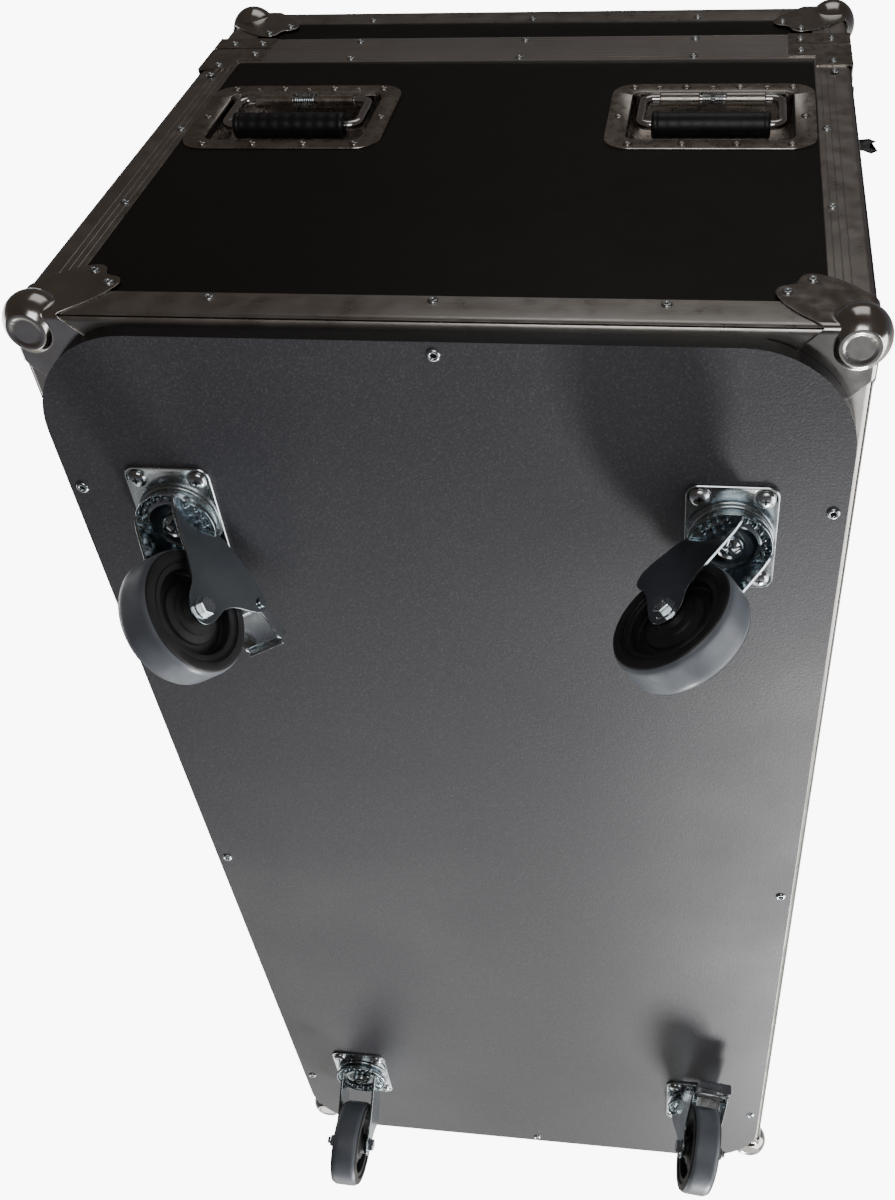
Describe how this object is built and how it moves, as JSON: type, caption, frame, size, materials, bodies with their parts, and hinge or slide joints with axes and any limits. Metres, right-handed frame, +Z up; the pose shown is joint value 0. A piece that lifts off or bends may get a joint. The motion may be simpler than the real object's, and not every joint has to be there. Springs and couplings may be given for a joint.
{
  "type": "flight case",
  "caption": "Wheeled road case with a hinged lid, ribbed metal edges, ball corners, recessed end handles, turn latches, foam lining and swivel castors.",
  "frame": {"origin": "centre of the footprint on the floor under the wheels", "axes": "+Z up, +X along the length towards the end with the seen handles, +Y towards the hinge side"},
  "size_m": [1.2588, 0.6188, 0.7345],
  "materials": {
    "laminate": "black phenolic faced plywood",
    "board": "dark grey textured phenolic plywood",
    "aluminium": "ribbed mill finish",
    "zinc": "bright zinc plate",
    "steel": "bright steel rod",
    "rubber": "black rubber grip",
    "foam": "dark foam lining",
    "wheel": "dark nylon wheel core",
    "tyre": "grey tread"
  },
  "bodies": {
    "case": {"base_panel": "laminate", "front_panel": "laminate", "rear_panel": "laminate", "right_end_panel": "laminate", "left_end_panel": "laminate", "castor_board": "board", "body_edge_angles": "aluminium", "body_rim_extrusion": "aluminium", "body_ball_corners": "zinc", "body_corner_braces": "zinc", "body_rivets": "zinc", "body_foam_lining": "foam", "castor_plates": "zinc", "castor_bolts": "zinc", "handle_dishes_right": "zinc", "handle_dishes_left": "zinc", "handle_springs": "zinc", "latch_dishes": "zinc", "hinge_body_leaves": "zinc", "hinge_pins": "zinc"},
    "lid": {"lid_top_panel": "laminate", "lid_side_panels": "laminate", "lid_edge_angles": "aluminium", "lid_rim_extrusion": "aluminium", "lid_ball_corners": "zinc", "lid_corner_braces": "zinc", "lid_rivets": "zinc", "lid_foam_lining": "foam", "latch_keepers": "zinc", "hinge_lid_leaves": "zinc"},
    "castor_right_front": {"castor_fork_right_front": "zinc", "castor_axle_right_front": "zinc"},
    "wheel_right_front": {"wheel_core_right_front": "wheel", "wheel_tyre_right_front": "tyre"},
    "pedal_right_front": {"brake_pedal_right_front": "zinc"},
    "castor_right_rear": {"castor_fork_right_rear": "zinc", "castor_axle_right_rear": "zinc"},
    "wheel_right_rear": {"wheel_core_right_rear": "wheel", "wheel_tyre_right_rear": "tyre"},
    "castor_left_front": {"castor_fork_left_front": "zinc", "castor_axle_left_front": "zinc"},
    "wheel_left_front": {"wheel_core_left_front": "wheel", "wheel_tyre_left_front": "tyre"},
    "castor_left_rear": {"castor_fork_left_rear": "zinc", "castor_axle_left_rear": "zinc"},
    "wheel_left_rear": {"wheel_core_left_rear": "wheel", "wheel_tyre_left_rear": "tyre"},
    "pedal_left_rear": {"brake_pedal_left_rear": "zinc"},
    "handle_right_front": {"handle_bail_right_front": "steel", "handle_grip_right_front": "rubber"},
    "handle_right_rear": {"handle_bail_right_rear": "steel", "handle_grip_right_rear": "rubber"},
    "handle_left_front": {"handle_bail_left_front": "steel", "handle_grip_left_front": "rubber"},
    "handle_left_rear": {"handle_bail_left_rear": "steel", "handle_grip_left_rear": "rubber"},
    "latch_cam_left": {"latch_cam_left": "zinc"},
    "latch_wing_left": {"latch_wing_left": "zinc"},
    "latch_cam_right": {"latch_cam_right": "zinc"},
    "latch_wing_right": {"latch_wing_right": "zinc"}
  },
  "joints": [
    {"name": "lid_hinge", "type": "hinge", "parent": "case", "child": "lid", "pos_m": [0, 0.3012, 0.63], "axis": [-1, 0, 0], "range_deg": [0, 93]},
    {"name": "swivel_right_front", "type": "hinge", "parent": "case", "child": "castor_right_front", "pos_m": [0.455, -0.211, 0.11], "axis": [0, 0, 1], "continuous": true},
    {"name": "spin_right_front", "type": "hinge", "parent": "castor_right_front", "child": "wheel_right_front", "pos_m": [0.42216, -0.19189, 0.05], "axis": [-0.503, -0.8643, 0], "continuous": true},
    {"name": "brake_right_front", "type": "hinge", "parent": "castor_right_front", "child": "pedal_right_front", "pos_m": [0.38413, -0.16975, 0.098], "axis": [-0.503, -0.8643, 0], "range_deg": [0, 20]},
    {"name": "swivel_right_rear", "type": "hinge", "parent": "case", "child": "castor_right_rear", "pos_m": [0.455, 0.211, 0.11], "axis": [0, 0, 1], "continuous": true},
    {"name": "spin_right_rear", "type": "hinge", "parent": "castor_right_rear", "child": "wheel_right_rear", "pos_m": [0.43419, 0.1792, 0.05], "axis": [0.8368, -0.5476, 0], "continuous": true},
    {"name": "swivel_left_front", "type": "hinge", "parent": "case", "child": "castor_left_front", "pos_m": [-0.455, -0.211, 0.11], "axis": [0, 0, 1], "continuous": true},
    {"name": "spin_left_front", "type": "hinge", "parent": "castor_left_front", "child": "wheel_left_front", "pos_m": [-0.49293, -0.21339, 0.05], "axis": [0.0628, -0.998, 0], "continuous": true},
    {"name": "swivel_left_rear", "type": "hinge", "parent": "case", "child": "castor_left_rear", "pos_m": [-0.455, 0.211, 0.11], "axis": [0, 0, 1], "continuous": true},
    {"name": "spin_left_rear", "type": "hinge", "parent": "castor_left_rear", "child": "wheel_left_rear", "pos_m": [-0.41783, 0.2189, 0.05], "axis": [-0.2079, 0.9781, 0], "continuous": true},
    {"name": "brake_left_rear", "type": "hinge", "parent": "castor_left_rear", "child": "pedal_left_rear", "pos_m": [-0.37479, 0.22805, 0.098], "axis": [-0.2079, 0.9781, 0], "range_deg": [0, 20]},
    {"name": "handle_right_front", "type": "hinge", "parent": "case", "child": "handle_right_front", "pos_m": [0.6177, -0.18, 0.514], "axis": [0, -1, 0], "range_deg": [0, 90], "stiffness_Nm_per_rad": 0.6, "springref_deg": -34.38},
    {"name": "handle_right_rear", "type": "hinge", "parent": "case", "child": "handle_right_rear", "pos_m": [0.6177, 0.18, 0.514], "axis": [0, -1, 0], "range_deg": [0, 90], "stiffness_Nm_per_rad": 0.6, "springref_deg": -34.38},
    {"name": "handle_left_front", "type": "hinge", "parent": "case", "child": "handle_left_front", "pos_m": [-0.6177, -0.18, 0.514], "axis": [0, 1, 0], "range_deg": [0, 90], "stiffness_Nm_per_rad": 0.6, "springref_deg": -34.38},
    {"name": "handle_left_rear", "type": "hinge", "parent": "case", "child": "handle_left_rear", "pos_m": [-0.6177, 0.18, 0.514], "axis": [0, 1, 0], "range_deg": [0, 90], "stiffness_Nm_per_rad": 0.6, "springref_deg": -34.38},
    {"name": "latch_turn_left", "type": "hinge", "parent": "case", "child": "latch_cam_left", "pos_m": [-0.33, -0.301, 0.563], "axis": [0, -1, 0], "range_deg": [0, 90]},
    {"name": "wing_fold_left", "type": "hinge", "parent": "latch_cam_left", "child": "latch_wing_left", "pos_m": [-0.348, -0.3019, 0.563], "axis": [0, 0, 1], "range_deg": [0, 90]},
    {"name": "latch_turn_right", "type": "hinge", "parent": "case", "child": "latch_cam_right", "pos_m": [0.33, -0.301, 0.563], "axis": [0, -1, 0], "range_deg": [0, 90]},
    {"name": "wing_fold_right", "type": "hinge", "parent": "latch_cam_right", "child": "latch_wing_right", "pos_m": [0.312, -0.3019, 0.563], "axis": [0, 0, 1], "range_deg": [0, 90]}
  ]
}
